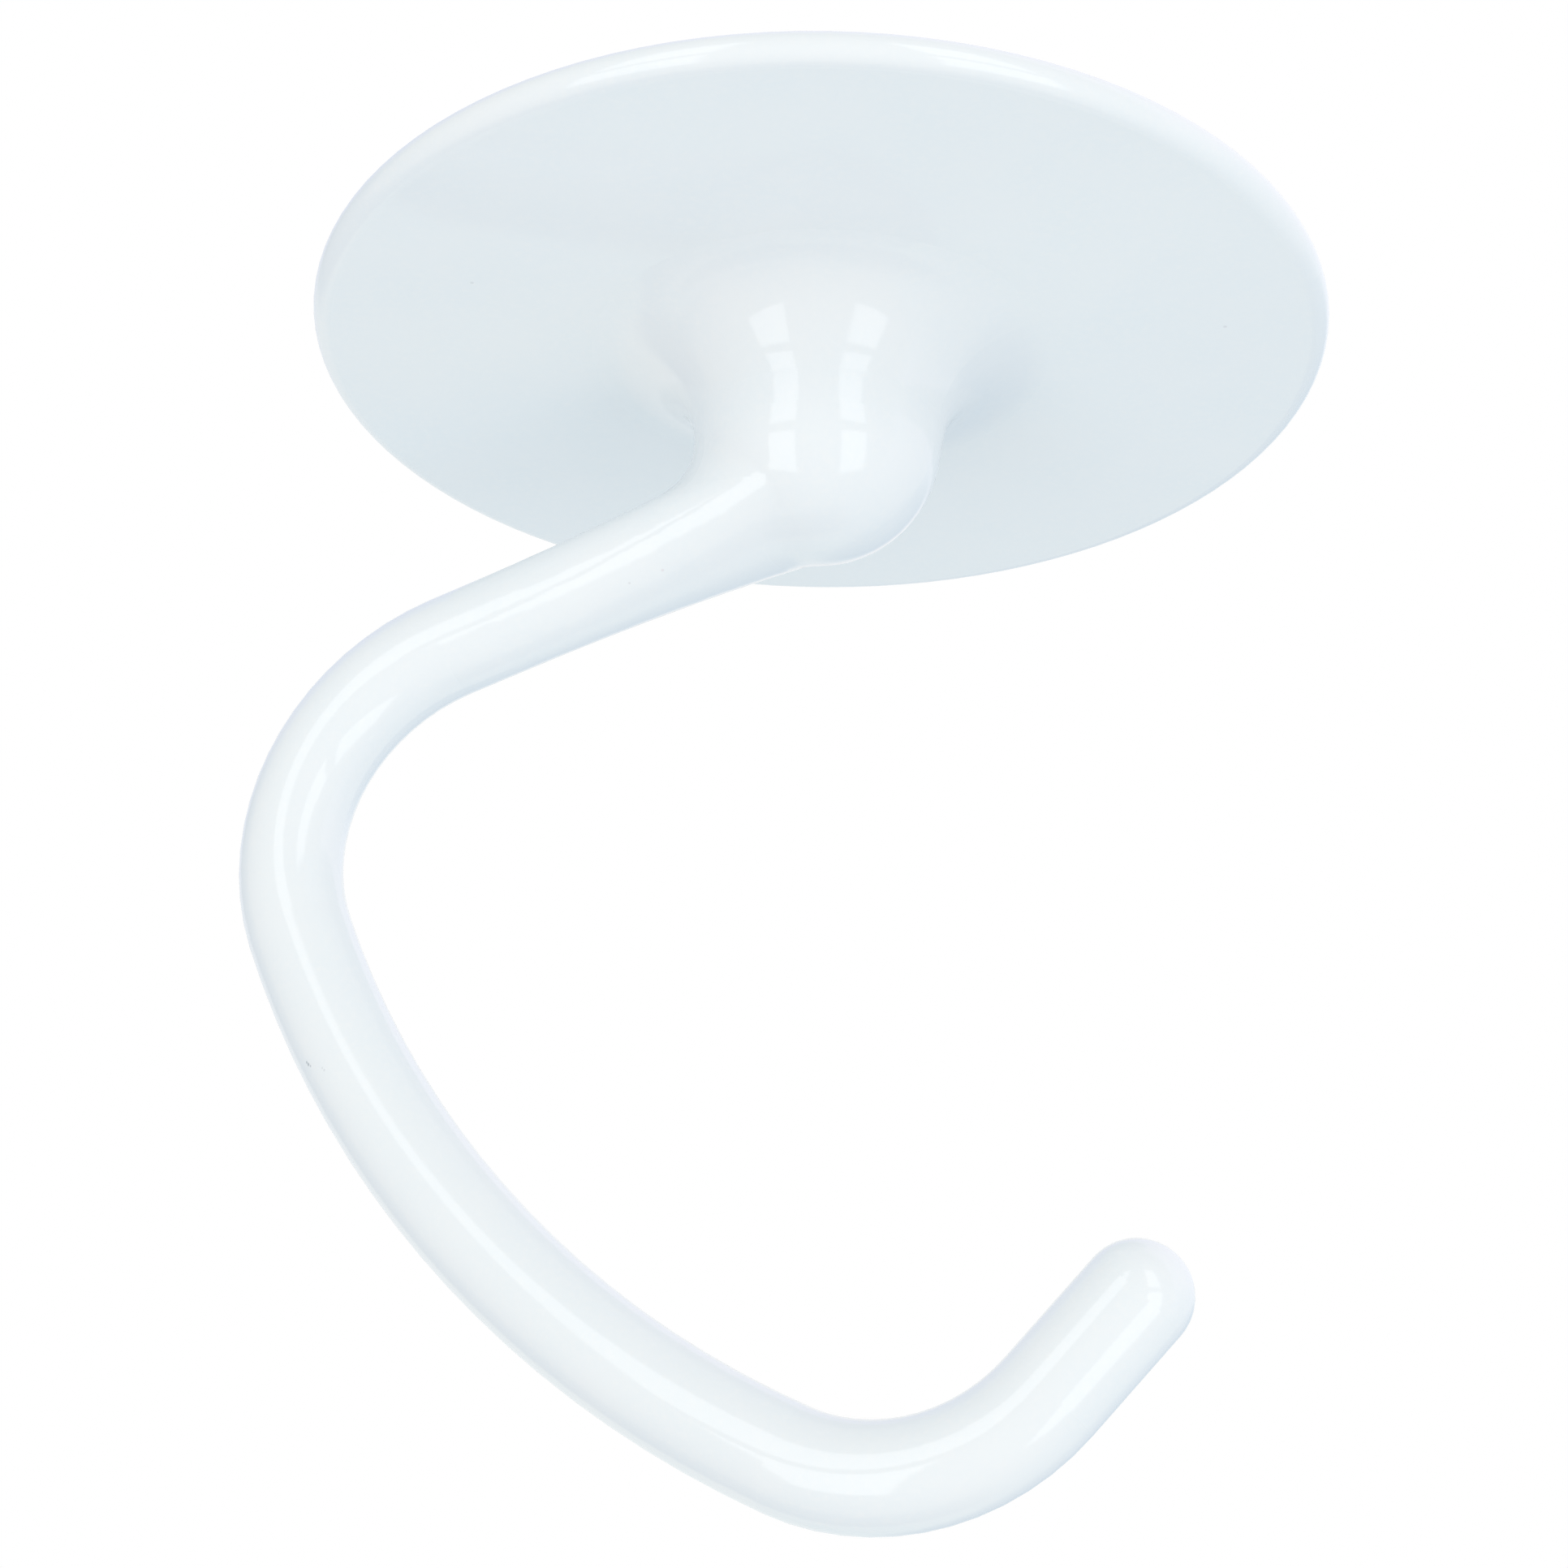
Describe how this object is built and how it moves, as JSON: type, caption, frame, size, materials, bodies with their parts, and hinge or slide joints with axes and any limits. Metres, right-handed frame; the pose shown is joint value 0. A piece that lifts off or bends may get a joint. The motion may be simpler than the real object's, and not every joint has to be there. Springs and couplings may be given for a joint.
{
  "type": "stand mixer dough hook",
  "caption": "Coated C-shaped dough hook with a round shield disc, a flared hub, and a bored collar with a bayonet slot that locks on a stand mixer's shaft.",
  "frame": {"origin": "centre of the drive bore's mouth, on the collar's top face", "axes": "+Z along the bore, up the mixer's shaft; the hook lies in the XZ plane, with its arm towards -X and its tip towards +X"},
  "size_m": [0.1135, 0.105, 0.1429],
  "materials": {
    "white_coating": "gloss"
  },
  "bodies": {
    "root": {"dough_hook": "white_coating"}
  },
  "joints": []
}
